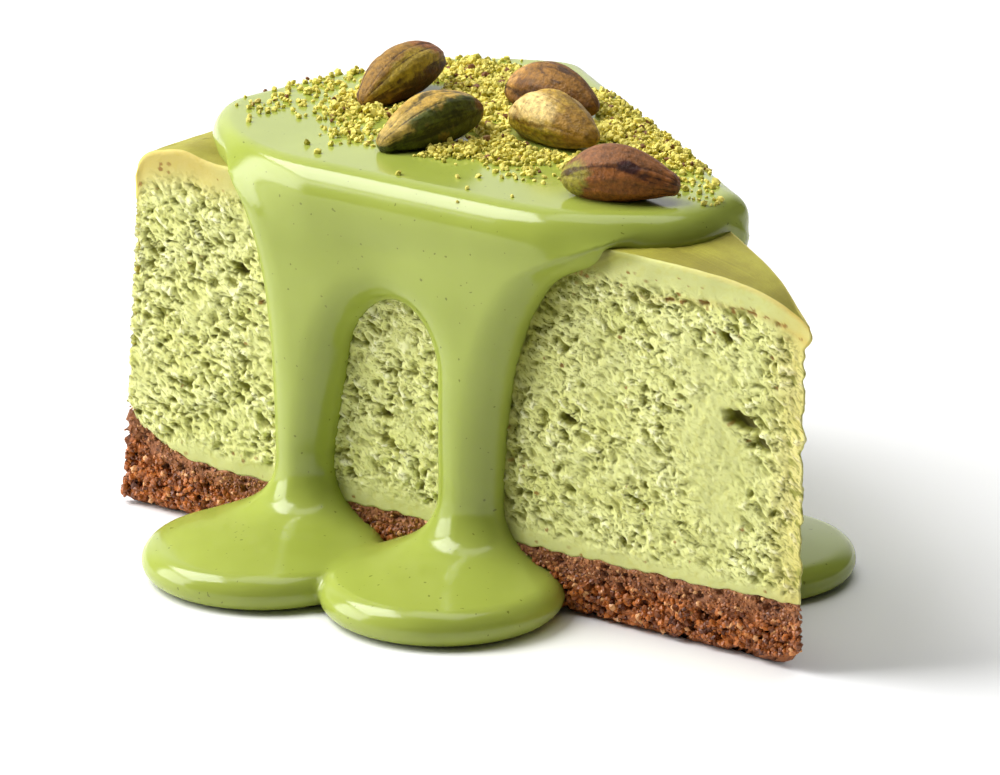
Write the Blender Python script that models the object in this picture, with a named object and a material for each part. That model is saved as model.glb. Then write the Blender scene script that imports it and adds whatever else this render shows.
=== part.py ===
# A wedge slice of pistachio cheesecake: a biscuit crust, a tall filling, a glaze
# that was poured over the top and ran down both cut faces into pools, crushed
# nuts on the glaze, and five whole kernels.
#
# Lengths below are in millimetres and become metres when a mesh is written.
# The slice stands on z = 0, its tip points along +X, and the cut face that the
# two long streams run down faces -Y.

import math
import random

import bpy
import bmesh
import numpy as np
from mathutils import Euler, Matrix, Vector, noise

MM = 0.001
GAP = 0.3

# The slice: a tenth of a nine-inch cake, whose side leans in towards its top
RADIUS = 115.4
HALF_ANGLE = math.radians(18.0)
HEIGHT = 52.5
TIP = Vector((57.0, 0.0, 0.0))
TIP_BLUNT = 0.8
RIM_LEAN = 4.2
RIM_LEAN_POWER = 0.8
RIM_SHOULDER = 3.6
RIM_RISE = 1.0
RIM_RISE_AT = 103.5
RIM_RISE_WIDTH = 3.5
TIP_FALL = 5.2
TIP_FALL_REACH = 6.0

# The crust: thicker where it was pressed into the corner of the tin
CRUST_HEIGHT = 8.6
CRUST_TIP_RISE = 1.2
CRUST_TIP_REACH = 20.0
CRUST_RIM_RISE = 6.2
CRUST_RIM_REACH = 17.0
CRUST_EDGE_LIFT = 0.7
CRUST_TIP_LIFT = 2.6
CRUST_TIP_LIFT_REACH = 4.0

# Relief of the torn surfaces
CRUMB_RELIEF = 0.9
CRUMB_GRAIN = 5.5
BISCUIT_RELIEF = 1.3
BISCUIT_GRAIN = 3.2

# How finely the slice is divided
FACE_STEPS = 31
RIM_STEPS = 16
FILLING_ROWS = 10
CRUST_ROWS = 4
INSETS = (0.4, 1.5, 3.4, 8.0)

# The glaze on the top
SHEET = 4.0
SHEET_TIP_EDGE = 25.4
SHEET_TIP_EDGE_BOW = 6.6
SHEET_TIP_EDGE_LEAN = math.radians(3.0)
SHEET_RIM_EDGE = 111.0
SHEET_FRONT_CORNER = 17.0
SHEET_BACK_CORNER = 8.0
SHEET_CORNER_START = math.radians(8.0)
SHEET_CORNER_POWER = 1.6

# How softly the parts of the glaze run into each other
RIDGE_BLEND = 1.6
SHEET_EDGE_BLEND = 3.0
SHEET_SIDE_BLEND = 1.5
STREAM_EDGE_BLEND = 1.0
ARCH_BLEND = 1.5
BACK_ENDS_BLEND = 2.0
BACK_BAND_BLEND = 5.0
DRIP_BLEND = 7.0
POOLS_BLEND = 1.0

# The glaze on the front face, by distance from the tip and height
LEFT_EDGE = 86.3
LEFT_FLARE = 8.0
LEFT_FLARE_REACH = 10.5
RIGHT_EDGE = 49.2
RIGHT_FLARE = 16.0
RIGHT_FLARE_REACH = 10.5
ARCH_RIGHT = 58.8
ARCH_LEFT = 77.4
ARCH_LEFT_LEAN = 0.18
ARCH_FOOT = 15.0
ARCH_SPRING = 30.5
ARCH_RISE = 8.6
ARCH_LEAST = 4.0
VALLEY_CENTRE = (67.5, 46.0)
VALLEY_SIZE = (8.0, 5.0)
VALLEY_DEPTH = 0.9

# The glaze on the back face: one stream that reaches the floor, two drips
BACK_BAND = 46.0
BACK_BAND_ENDS = (29.5, 103.0)
BACK_DRIPS = ((39.0, 5.0, -6.0), (64.0, 4.6, 25.0), (87.0, 5.2, 33.0))
BACK_SHEET = 3.8

# Pools: side, distance from the tip, distance out, radius, height at the middle
FRONT = -1
BACK = 1
POOLS = (
    (FRONT, 80.9, 11.0, 16.8, 6.4),
    (FRONT, 53.0, 8.0, 16.6, 6.6),
    (BACK, 38.6, 6.6, 14.6, 5.6),
)
POOL_RIM = 4.4
POOL_BLEND = 8.0
NET_CELL = 1.5
GLAZE_FACES = 3500

# Whole kernels: name, centre, where the beak points, how far it rises, length
KERNELS = (
    ("kernel_1", (-37.1, 2.2), 284.0, -11.0, 17.2),
    ("kernel_2", (-16.0, -7.9), 268.0, -9.0, 17.0),
    ("kernel_3", (-17.6, 14.2), 12.0, 0.0, 16.4),
    ("kernel_4", (-5.9, 5.9), 5.0, 0.0, 17.0),
    ("kernel_5", (19.7, -2.3), 36.5, 0.0, 16.4),
)
KERNEL_WIDTH = 8.0
KERNEL_DEPTH = 7.4
KERNEL_BEND = 1.1
KERNEL_RINGS = 12
KERNEL_SIDES = 16
KERNEL_SINK = 0.45

# Crushed nuts: how many, their sizes, and where they lie thickest
CRUMBS = 72
CRUMB_SIZES = (0.75, 1.25)
CRUMB_SPREAD = 15.0
CRUMB_STREAK = ((-46.0, 8.0), (22.0, 12.0))
SEED = 7

# Colours, as linear values
COLOURS = {
    "biscuit": ((0.235, 0.092, 0.038), 0.85),
    "filling": ((0.560, 0.640, 0.270), 0.60),
    "glaze": ((0.390, 0.500, 0.110), 0.12),
    "nut": ((0.360, 0.200, 0.070), 0.45),
}


def clear_scene():
    for thing in list(bpy.data.objects):
        bpy.data.objects.remove(thing, do_unlink=True)


def make_material(slot):
    colour, roughness = COLOURS[slot]
    material = bpy.data.materials.new(slot)
    material.use_nodes = True
    shader = material.node_tree.nodes["Principled BSDF"]
    shader.inputs["Base Color"].default_value = (*colour, 1.0)
    shader.inputs["Roughness"].default_value = roughness
    shader.inputs["Metallic"].default_value = 0.0
    return material


def make_object(name, shape, slot):
    """Turn a bmesh in millimetres into an object in metres"""
    bmesh.ops.scale(shape, vec=(MM, MM, MM), verts=shape.verts)
    bmesh.ops.recalc_face_normals(shape, faces=shape.faces)
    mesh = bpy.data.meshes.new(name)
    shape.to_mesh(mesh)
    shape.free()
    mesh.materials.append(make_material(slot))
    thing = bpy.data.objects.new(name, mesh)
    bpy.context.collection.objects.link(thing)
    return thing


def apply_modifier(thing, modifier):
    """Bake one modifier into the object's mesh"""
    bpy.context.view_layer.update()
    graph = bpy.context.evaluated_depsgraph_get()
    mesh = bpy.data.meshes.new_from_object(thing.evaluated_get(graph))
    thing.modifiers.remove(modifier)
    thing.data = mesh


def combine(thing, others, operation, solver="EXACT"):
    """Cut the others from a thing, or join them to it, and drop them"""
    collection = bpy.data.collections.new(thing.name + "_others")
    bpy.context.scene.collection.children.link(collection)
    for other in others:
        bpy.context.collection.objects.unlink(other)
        collection.objects.link(other)
    modifier = thing.modifiers.new("Boolean", "BOOLEAN")
    modifier.operation = operation
    modifier.operand_type = "COLLECTION"
    modifier.collection = collection
    modifier.solver = solver
    apply_modifier(thing, modifier)
    for other in others:
        bpy.data.objects.remove(other, do_unlink=True)
    bpy.data.collections.remove(collection)


def finish_surface(thing, sharp_degrees):
    thing.data.shade_smooth()
    thing.data.set_sharp_from_angle(angle=math.radians(sharp_degrees))


# Measures of the slice

def polar(x, y):
    """Distance from the tip and angle from the slice's middle line"""
    return np.hypot(TIP.x - x, y), np.arctan2(y, TIP.x - x)


def face_coordinates(x, y, side):
    """Distance from the tip along a cut face, and distance out of it"""
    along = (TIP.x - x) * math.cos(HALF_ANGLE) + side * y * math.sin(HALF_ANGLE)
    out = (x - TIP.x) * math.sin(HALF_ANGLE) + side * y * math.cos(HALF_ANGLE)
    return along, out


def face_point(side, along, out):
    """Plan point at a distance along a cut face and out of it"""
    x = TIP.x - along * math.cos(HALF_ANGLE) + out * math.sin(HALF_ANGLE)
    y = side * (along * math.sin(HALF_ANGLE) + out * math.cos(HALF_ANGLE))
    return x, y


def rim_radius(z):
    return RADIUS - RIM_LEAN * (z / HEIGHT) ** RIM_LEAN_POWER


def top_height(x, y):
    """Height of the cake's top: it falls to the tip and over the rim's shoulder"""
    distance = math.hypot(TIP.x - x, y)
    fall = TIP_FALL * math.exp(-distance / TIP_FALL_REACH)
    rise = RIM_RISE * math.exp(-((distance - RIM_RISE_AT) / RIM_RISE_WIDTH) ** 2)
    inside = min(max(rim_radius(HEIGHT) - distance, 0.0), RIM_SHOULDER)
    shoulder = RIM_SHOULDER - math.sqrt(RIM_SHOULDER ** 2 - (RIM_SHOULDER - inside) ** 2)
    return HEIGHT - fall + rise - shoulder


def crust_top(x, y):
    """Height of the crust's top, which climbs at the rim"""
    distance = math.hypot(TIP.x - x, y)
    climb = min(max((distance - RADIUS) / CRUST_RIM_REACH + 1.0, 0.0), 1.0)
    tip = math.exp(-distance / CRUST_TIP_REACH)
    return CRUST_HEIGHT + CRUST_TIP_RISE * tip + CRUST_RIM_RISE * climb ** 2


def filling_bottom(x, y):
    return crust_top(x, y) + GAP


def crust_bottom(x, y):
    """The crust's underside: flat, but crumbled away under its lower edge"""
    edge = max(face_coordinates(x, y, FRONT)[1], face_coordinates(x, y, BACK)[1])
    distance = math.hypot(TIP.x - x, y)
    edge = max(edge, distance - RADIUS)
    worn = max(1.0 + edge / INSETS[1], 0.0)
    return worn * (CRUST_EDGE_LIFT + CRUST_TIP_LIFT * math.exp(-distance / CRUST_TIP_LIFT_REACH))


# The crust and the filling

def slice_stations():
    """Places round the slice: a face's side, or 0 on the rim, and a share along it"""
    front = [(FRONT, step / FACE_STEPS) for step in range(FACE_STEPS + 1)]
    rim = [(0, step / RIM_STEPS) for step in range(1, RIM_STEPS)]
    back = [(BACK, step / FACE_STEPS) for step in range(FACE_STEPS, -1, -1)]
    return front + rim + back


def station_point(station, z):
    """Plan point of a station at a height, and the way out of the slice there"""
    side, share = station
    radius = rim_radius(z)
    if side == 0:
        angle = HALF_ANGLE * (2.0 * share - 1.0)
        outward = Vector((-math.cos(angle), math.sin(angle), 0.0))
        return TIP + radius * outward, outward
    along = TIP_BLUNT + (radius - TIP_BLUNT) * share
    outward = Vector((math.sin(HALF_ANGLE), side * math.cos(HALF_ANGLE), 0.0))
    return Vector((*face_point(side, along, 0.0), 0.0)), outward


def torn(point, grain, relief):
    """How far a torn surface lies inside the cut, in three sizes of crag"""
    broad = noise.noise(point / (2.0 * grain))
    middle = noise.noise(point / grain + Vector((31.0, 7.0, 3.0)))
    fine = noise.noise(point * 2.0 / grain + Vector((5.0, 43.0, 11.0)))
    share = 0.5 + 0.45 * broad + 0.45 * middle + 0.3 * fine
    return relief * min(max(share, 0.0), 1.0)


def slice_shape(bottom, top, rows, wall, inward):
    """A closed body from rings round the slice: underside, wall and top"""
    shape = bmesh.new()
    stations = slice_stations()
    reach = RADIUS / (1.0 + 1.0 / math.sin(HALF_ANGLE))
    centre = Vector((TIP.x - RADIUS + reach, 0.0, 0.0))

    def inset_ring(height, z, inset):
        ring = []
        for station in stations:
            place, outward = station_point(station, z)
            spot = (place - inward * outward).lerp(centre, inset / reach)
            ring.append(shape.verts.new((spot.x, spot.y, height(spot.x, spot.y))))
        return ring

    def wall_ring(share):
        ring = []
        for station in stations:
            place = station_point(station, HEIGHT * share)[0]
            low = bottom(place.x, place.y)
            z = low + (top(place.x, place.y) - low) * share
            place, outward = station_point(station, max(z, 0.0))
            place.z = z
            spot = place - wall(place) * outward
            if share == 0.0:
                spot.z = bottom(spot.x, spot.y)
            if share == 1.0:
                spot.z = top(spot.x, spot.y)
            ring.append(shape.verts.new(spot))
        return ring

    rings = [inset_ring(bottom, 0.0, inset) for inset in reversed(INSETS)]
    rings += [wall_ring(row / rows) for row in range(rows + 1)]
    rings += [inset_ring(top, HEIGHT, inset) for inset in INSETS]
    count = len(stations)
    for lower, upper in zip(rings, rings[1:]):
        for index in range(count):
            after = (index + 1) % count
            shape.faces.new((lower[index], lower[after], upper[after], upper[index]))
    for ring, height in ((rings[0], bottom), (rings[-1], top)):
        middle = shape.verts.new((centre.x, centre.y, height(centre.x, centre.y)))
        for index in range(count):
            shape.faces.new((ring[index], ring[(index + 1) % count], middle))
    bmesh.ops.triangulate(shape, faces=shape.faces)
    return shape


def make_slice_layer(name, slot, bottom, top, rows, grain, relief):
    """A layer of the slice between two heights, with torn walls"""
    shape = slice_shape(
        bottom, top, rows, lambda place: torn(place, grain, relief), 0.5 * relief)
    layer = make_object(name, shape, slot)
    finish_surface(layer, 40.0)
    return layer


def make_slice_cutter():
    """The space of the slice and its gap, which the glaze lies round"""
    shape = slice_shape(
        lambda x, y: -HEIGHT, lambda x, y: top_height(x, y) + GAP, 3, lambda place: -GAP, -GAP)
    cutter = make_object("slice_cutter", shape, "glaze")
    cutter.hide_render = True
    cutter.display_type = "WIRE"
    return cutter


def make_floor_cutter():
    """Everything below the surface that the slice stands on"""
    shape = bmesh.new()
    bmesh.ops.create_cube(shape, size=2.0 * RADIUS)
    bmesh.ops.translate(shape, verts=shape.verts, vec=(0.0, 0.0, -RADIUS))
    cutter = make_object("floor_cutter", shape, "glaze")
    cutter.hide_render = True
    cutter.display_type = "WIRE"
    return cutter


# The glaze, as a field that is negative inside it

def smooth_least(a, b, width):
    share = np.clip(0.5 + 0.5 * (b - a) / width, 0.0, 1.0)
    return b + (a - b) * share - width * share * (1.0 - share)


def smooth_most(a, b, width):
    return -smooth_least(-a, -b, width)


def poured(edge, height, thickness):
    """A sheet of glaze with a round edge, from its outline and the height over it"""
    return np.hypot(np.maximum(edge + thickness, 0.0), height) - thickness


def top_sheet(x, y, z):
    distance, angle = polar(x, y)
    turn = (angle - SHEET_TIP_EDGE_LEAN) / (HALF_ANGLE + SHEET_TIP_EDGE_LEAN)
    near = SHEET_TIP_EDGE + SHEET_TIP_EDGE_BOW * turn ** 2
    corner = (np.abs(angle) - SHEET_CORNER_START) / (HALF_ANGLE - SHEET_CORNER_START)
    depth = np.where(angle < 0.0, SHEET_FRONT_CORNER, SHEET_BACK_CORNER)
    far = SHEET_RIM_EDGE - depth * np.clip(corner, 0.0, 1.5) ** SHEET_CORNER_POWER
    edge = smooth_most(near - distance, distance - far, SHEET_EDGE_BLEND)
    for side in (FRONT, BACK):
        out = face_coordinates(x, y, side)[1]
        edge = smooth_most(edge, out - SHEET, SHEET_SIDE_BLEND)
    return poured(edge, z - HEIGHT, SHEET)


def front_curtain(x, y, z):
    along, out = face_coordinates(x, y, FRONT)
    drop = np.maximum(HEIGHT - z, -2.0)
    left = LEFT_EDGE + LEFT_FLARE * np.exp(-drop / LEFT_FLARE_REACH)
    right = RIGHT_EDGE - RIGHT_FLARE * np.exp(-drop / RIGHT_FLARE_REACH)
    arch_left = ARCH_LEFT - ARCH_LEFT_LEAN * np.maximum(z - ARCH_FOOT, 0.0)
    half_width = np.maximum(0.5 * (arch_left - ARCH_RIGHT), ARCH_LEAST)
    over = np.maximum(z - ARCH_SPRING, 0.0) / ARCH_RISE
    arch = np.hypot((along - ARCH_RIGHT) / half_width - 1.0, over) - 1.0
    arch = arch * half_width
    edge = smooth_most(along - left, right - along, STREAM_EDGE_BLEND)
    edge = smooth_most(edge, -arch, ARCH_BLEND)
    edge = np.maximum(edge, z - HEIGHT)
    valley = np.hypot((along - VALLEY_CENTRE[0]) / VALLEY_SIZE[0],
                      (z - VALLEY_CENTRE[1]) / VALLEY_SIZE[1])
    valley = np.exp(-valley ** 2)
    return poured(edge, out, SHEET - VALLEY_DEPTH * valley)


def back_curtain(x, y, z):
    along, out = face_coordinates(x, y, BACK)
    start, end = BACK_BAND_ENDS
    edge = smooth_most(start - along, along - end, BACK_ENDS_BLEND)
    edge = smooth_most(edge, BACK_BAND - z, BACK_BAND_BLEND)
    for centre, half_width, bottom in BACK_DRIPS:
        below = np.maximum(bottom + half_width - z, 0.0)
        drip = np.hypot(along - centre, below) - half_width
        edge = smooth_least(edge, drip, DRIP_BLEND)
    edge = np.maximum(edge, z - HEIGHT)
    return poured(edge, out, BACK_SHEET)


def pool(x, y, z, side, along, out, radius, height):
    """A pool that bulges at its rim and is a little higher in the middle"""
    centre_x, centre_y = face_point(side, along, out)
    distance = np.hypot(x - centre_x, y - centre_y)
    share = np.clip(distance / radius, 0.0, 1.0)
    half = 0.5 * (height + (POOL_RIM - height) * share ** 2)
    return np.hypot(np.maximum(distance - radius + half, 0.0), z - half) - half


def glaze_field(x, y, z):
    field = smooth_least(top_sheet(x, y, z), front_curtain(x, y, z), RIDGE_BLEND)
    field = smooth_least(field, back_curtain(x, y, z), RIDGE_BLEND)
    pools = pool(x, y, z, *POOLS[0])
    for values in POOLS[1:]:
        pools = smooth_least(pools, pool(x, y, z, *values), POOLS_BLEND)
    return smooth_least(field, pools, POOL_BLEND)


def surface_net(field, low, high, cell):
    """Points and quads of the surface where a field is zero, one point a cell"""
    axes = [np.arange(low[axis], high[axis] + cell, cell) for axis in range(3)]
    grid = np.meshgrid(*axes, indexing="ij")
    value = field(*grid)
    inside = value < 0.0
    shape = [len(axis) - 1 for axis in axes]
    total = np.zeros(shape + [3])
    hits = np.zeros(shape)
    edges = []
    for axis in range(3):
        start = [slice(None)] * 3
        end = [slice(None)] * 3
        start[axis] = slice(0, -1)
        end[axis] = slice(1, None)
        a = value[tuple(start)]
        b = value[tuple(end)]
        crossing = inside[tuple(start)] != inside[tuple(end)]
        share = np.where(crossing, a / np.where(crossing, a - b, 1.0), 0.0)
        spot = np.stack([grid[other][tuple(start)] for other in range(3)], axis=-1)
        spot[..., axis] += share * cell
        u, v = [other for other in range(3) if other != axis]
        for back_u in (0, 1):
            for back_v in (0, 1):
                part = [slice(None)] * 3
                part[u] = slice(back_u, shape[u] + back_u)
                part[v] = slice(back_v, shape[v] + back_v)
                hit = crossing[tuple(part)]
                total += spot[tuple(part)] * hit[..., None]
                hits += hit
        edges.append((axis, u, v, crossing, inside[tuple(start)]))
    number = np.full(shape, -1)
    used = hits > 0
    number[used] = np.arange(np.count_nonzero(used))
    points = total[used] / hits[used][:, None]
    quads = []
    for axis, u, v, crossing, start_inside in edges:
        for index in np.argwhere(crossing):
            if index[u] == 0 or index[v] == 0 or index[u] >= shape[u] or index[v] >= shape[v]:
                continue
            ring = []
            for back_u, back_v in ((1, 1), (0, 1), (0, 0), (1, 0)):
                place = index.copy()
                place[u] -= back_u
                place[v] -= back_v
                ring.append(int(number[tuple(place)]))
            if start_inside[tuple(index)] == (axis == 1):
                ring.reverse()
            quads.append(ring)
    return points, quads


def make_glaze_body():
    """The poured glaze before the slice is cut out of it"""
    low = (TIP.x - RADIUS - 8.0, -56.0, -4.0)
    high = (TIP.x, 52.0, HEIGHT + 7.0)
    points, quads = surface_net(glaze_field, low, high, NET_CELL)
    shape = bmesh.new()
    corners = [shape.verts.new(point) for point in points]
    for quad in quads:
        shape.faces.new([corners[index] for index in quad])
    bmesh.ops.triangulate(shape, faces=shape.faces)
    glaze = make_object("glaze", shape, "glaze")
    decimate = glaze.modifiers.new("Decimate", "DECIMATE")
    decimate.ratio = min(1.0, GLAZE_FACES / len(glaze.data.polygons))
    apply_modifier(glaze, decimate)
    return glaze


# The crushed nuts

def crumb_places(draw):
    """Centres and radii of the largest crumbs, thickest along one streak"""
    start = Vector(CRUMB_STREAK[0])
    end = Vector(CRUMB_STREAK[1])
    places = []
    while len(places) < CRUMBS:
        share = draw.random()
        spot = start.lerp(end, share)
        spot += Vector((draw.gauss(0.0, CRUMB_SPREAD), draw.gauss(0.0, CRUMB_SPREAD)))
        radius = draw.uniform(*CRUMB_SIZES)
        level = HEIGHT + SHEET - 0.15
        if glaze_field(spot.x, spot.y, level) > -0.1:
            continue
        clear = all((spot - place).length > 1.2 * (radius + size) for place, size in places)
        for kernel in KERNELS:
            clear = clear and kernel_distance(spot, kernel) > radius + 2.0 * GAP
        if clear:
            places.append((spot, radius))
    return places


def kernel_distance(spot, kernel):
    """Plan distance from a spot to the edge of a kernel"""
    name, centre, turn, tilt, length = kernel
    heading = Vector((math.cos(math.radians(turn)), math.sin(math.radians(turn))))
    offset = spot - Vector(centre)
    reach = 0.5 * (length - KERNEL_WIDTH)
    along = min(max(offset.dot(heading), -reach), reach)
    return (offset - along * heading).length - 0.55 * KERNEL_WIDTH


def make_crumbs():
    draw = random.Random(SEED)
    crumbs = []
    for spot, radius in crumb_places(draw):
        shape = bmesh.new()
        bmesh.ops.create_icosphere(shape, subdivisions=1, radius=radius)
        for corner in shape.verts:
            corner.co *= draw.uniform(0.85, 1.15)
        turn = Euler([draw.uniform(0.0, math.tau) for _ in range(3)]).to_matrix().to_4x4()
        place = Matrix.Translation((spot.x, spot.y, HEIGHT + SHEET + 0.2 * radius))
        bmesh.ops.transform(shape, matrix=place @ turn, verts=shape.verts)
        crumbs.append(make_object("crumb", shape, "glaze"))
    return crumbs


# The whole kernels

def kernel_point(share, turn, length):
    """A point of a kernel's skin: blunt at one end, with a beak at the other"""
    girth = math.sin(math.pi * share ** 0.86) ** 0.58
    beak = 0.18 * math.exp(-((share - 0.97) / 0.05) ** 2)
    ridges = 1.0 + 0.025 * math.cos(5.0 * turn + 3.0 * share)
    seam = 1.0 - 0.10 * math.exp(-(math.sin(turn) / 0.22) ** 2) * (math.cos(turn) > 0.0)
    girth = (girth + beak) * ridges * seam if 0.0 < share < 1.0 else 0.0
    y = 0.5 * KERNEL_WIDTH * girth * math.cos(turn)
    z = 0.5 * KERNEL_DEPTH * girth * math.sin(turn)
    z -= KERNEL_BEND * (2.0 * share - 1.0) ** 2
    return Vector(((share - 0.5) * length, y, z))


def make_kernel(name, centre, turn, tilt, length):
    shape = bmesh.new()
    rings = []
    for ring in range(1, KERNEL_RINGS):
        share = 0.5 - 0.5 * math.cos(math.pi * ring / KERNEL_RINGS)
        rings.append([
            shape.verts.new(kernel_point(share, math.tau * side / KERNEL_SIDES, length))
            for side in range(KERNEL_SIDES)
        ])
    tail = shape.verts.new(kernel_point(0.0, 0.0, length))
    beak = shape.verts.new(kernel_point(1.0, 0.0, length))
    for side in range(KERNEL_SIDES):
        after = (side + 1) % KERNEL_SIDES
        shape.faces.new((tail, rings[0][after], rings[0][side]))
        shape.faces.new((beak, rings[-1][side], rings[-1][after]))
        for lower, upper in zip(rings, rings[1:]):
            shape.faces.new((lower[side], lower[after], upper[after], upper[side]))
    pose = Matrix.Rotation(math.radians(turn), 4, "Z")
    pose = pose @ Matrix.Rotation(math.radians(-tilt), 4, "Y")
    bmesh.ops.transform(shape, matrix=pose, verts=shape.verts)
    rest = HEIGHT + SHEET + GAP
    lift = rest - KERNEL_SINK - min(corner.co.z for corner in shape.verts)
    for corner in shape.verts:
        corner.co += Vector((centre[0], centre[1], lift))
        corner.co.z = max(corner.co.z, rest)
    bmesh.ops.triangulate(shape, faces=shape.faces)
    kernel = make_object(name, shape, "nut")
    finish_surface(kernel, 50.0)
    return kernel


def centre_on_base(things):
    """Move the whole so that its origin is the middle of its base"""
    corners = np.array([corner.co for thing in things for corner in thing.data.vertices])
    middle = 0.5 * (corners.min(axis=0) + corners.max(axis=0))
    shift = Vector((-middle[0], -middle[1], 0.0))
    for thing in things:
        thing.data.transform(Matrix.Translation(shift))


def main():
    clear_scene()
    crust = make_slice_layer(
        "crust", "biscuit", crust_bottom, crust_top, CRUST_ROWS, BISCUIT_GRAIN, BISCUIT_RELIEF)
    filling = make_slice_layer(
        "filling", "filling", filling_bottom, top_height, FILLING_ROWS, CRUMB_GRAIN, CRUMB_RELIEF)
    glaze = make_glaze_body()
    combine(glaze, [make_slice_cutter(), make_floor_cutter()], "DIFFERENCE")
    combine(glaze, make_crumbs(), "UNION")
    finish_surface(glaze, 50.0)
    kernels = [make_kernel(*kernel) for kernel in KERNELS]
    centre_on_base([crust, filling, glaze] + kernels)


main()
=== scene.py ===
import math

import bpy
import numpy as np
from mathutils import Matrix, Vector


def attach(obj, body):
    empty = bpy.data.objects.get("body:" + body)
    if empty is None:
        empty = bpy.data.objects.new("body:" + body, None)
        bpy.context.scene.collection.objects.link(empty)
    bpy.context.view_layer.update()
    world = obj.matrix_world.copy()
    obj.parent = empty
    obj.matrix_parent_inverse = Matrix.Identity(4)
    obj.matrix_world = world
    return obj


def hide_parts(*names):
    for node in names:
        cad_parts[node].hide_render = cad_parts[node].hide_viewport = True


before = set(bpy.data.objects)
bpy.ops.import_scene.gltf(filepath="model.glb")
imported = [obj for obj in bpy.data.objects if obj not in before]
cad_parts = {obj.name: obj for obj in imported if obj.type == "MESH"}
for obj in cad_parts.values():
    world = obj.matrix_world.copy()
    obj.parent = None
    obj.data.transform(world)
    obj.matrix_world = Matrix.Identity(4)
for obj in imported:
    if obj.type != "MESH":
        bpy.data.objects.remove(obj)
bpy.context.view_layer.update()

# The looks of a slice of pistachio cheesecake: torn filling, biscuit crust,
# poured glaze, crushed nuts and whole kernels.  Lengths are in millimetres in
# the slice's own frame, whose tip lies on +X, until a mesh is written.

MM = 0.001
BODY = "root"

# Where the slice's own frame lies in the part's
ORIGIN = np.array((0.868, 8.475, 0.0))

# The slice
RADIUS = 115.4
HALF_ANGLE = math.radians(18.0)
HEIGHT = 52.5
TIP_X = 57.0
TIP_BLUNT = 0.8
RIM_LEAN = 4.2
RIM_LEAN_POWER = 0.8
RIM_SHOULDER = 3.6
RIM_RISE = 1.0
RIM_RISE_AT = 103.5
RIM_RISE_WIDTH = 3.5
TIP_FALL = 5.2
TIP_FALL_REACH = 6.0
CRUST_HEIGHT = 8.6
CRUST_TIP_RISE = 1.2
CRUST_RIM_RISE = 6.2
CRUST_RIM_REACH = 17.0
CRUST_EDGE_LIFT = 0.7
CRUST_TIP_LIFT = 2.6
CRUST_TIP_LIFT_REACH = 4.0
EDGE_REACH = 1.5

# The glaze on the top
SHEET = 4.0
SHEET_TIP_EDGE = 25.4
SHEET_TIP_EDGE_BOW = 6.6
SHEET_TIP_EDGE_LEAN = math.radians(3.0)
SHEET_RIM_EDGE = 111.0
SHEET_FRONT_CORNER = 17.0
SHEET_BACK_CORNER = 8.0
SHEET_CORNER_START = math.radians(8.0)

# The glaze on the front face, by distance from the tip and height
LEFT_EDGE = 86.3
LEFT_FLARE = 8.0
LEFT_FLARE_REACH = 10.5
RIGHT_EDGE = 49.2
RIGHT_FLARE = 16.0
RIGHT_FLARE_REACH = 10.5
ARCH_RIGHT = 58.8
ARCH_LEFT = 77.4
ARCH_LEFT_LEAN = 0.18
ARCH_FOOT = 15.0
ARCH_SPRING = 30.5
ARCH_RISE = 8.6
VALLEY_CENTRE = (67.5, 46.0)
VALLEY_DEPTH = 0.9

# The glaze on the back face: one stream that reaches the floor, two drips
BACK_BAND = 46.0
BACK_BAND_ENDS = (29.5, 103.0)
BACK_DRIPS = ((39.0, 5.0, -6.0), (64.0, 4.6, 25.0), (87.0, 5.2, 33.0))
BACK_SHEET = 3.8

# The three walls of the slice: front cut face, round rim, back cut face
FRONT = -1
RIM = 0
BACK = 1

# Pools: side, distance from the tip, distance out, radius, height at the middle
POOLS = (
    (FRONT, 80.9, 11.0, 16.8, 6.4),
    (FRONT, 53.0, 8.0, 16.6, 6.6),
    (BACK, 38.6, 6.6, 14.6, 5.6),
)
POOL_RIM = 4.4
POOL_BLEND = 8.0

# The glaze sinks this far into the crumb that it lies on
GLAZE_SINK = 1.9

# How widely the edges of the glaze are rounded into each other
STREAM_ROUNDNESS = 1.5
RIDGE_BLEND = 3.0
SHEET_ENDS_BLEND = 3.0
SHEET_FRONT_BLEND = 7.0
SHEET_BACK_BLEND = 1.5
SHEET_CORNER_POWER = 1.6
STREAM_EDGE_BLEND = 1.0
ARCH_BLEND = 1.5
ARCH_LEAST = 4.0
VALLEY_SIZE = (8.0, 5.0)
BACK_BLEND = 1.6
BACK_ENDS_BLEND = 2.0
BACK_BAND_BLEND = 5.0
DRIP_BLEND = 7.0
POOLS_BLEND = 1.0

# The sheet grows out over the front face between these distances from the tip
LIP_FADE = (22.0, 48.0)

GLAZE_CELL = 0.5
WALL_STEP = 0.31
RIM_STEPS = 2.5
BACK_STEPS = 2.7

# Whole kernels: name, centre, where the beak points, how far it rises, length
KERNELS = (
    ("kernel_1", (-37.1, 2.2), 284.0, -11.0, 17.2),
    ("kernel_2", (-16.0, -7.9), 268.0, -9.0, 17.0),
    ("kernel_3", (-17.6, 14.2), 12.0, 0.0, 16.4),
    ("kernel_4", (-5.9, 5.9), 5.0, 0.0, 17.0),
    ("kernel_5", (19.7, -2.3), 36.5, 0.0, 16.4),
)
KERNEL_WIDTH = 8.0
KERNEL_DEPTH = 7.4
KERNEL_BEND = 1.1
KERNEL_SINK = 0.45


# Noise

def scramble(ix, iy, iz, seed):
    """Steady random bits for each point of a lattice"""
    bits = ix * 73856093 ^ iy * 19349663 ^ iz * 83492791 ^ (seed + 1) * 40503011
    bits = (bits ^ bits >> 13) * 1274126177 & 0xFFFFFFFF
    bits = (bits ^ bits >> 15) * 668265263 & 0xFFFFFFFF
    return bits ^ bits >> 16


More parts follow.
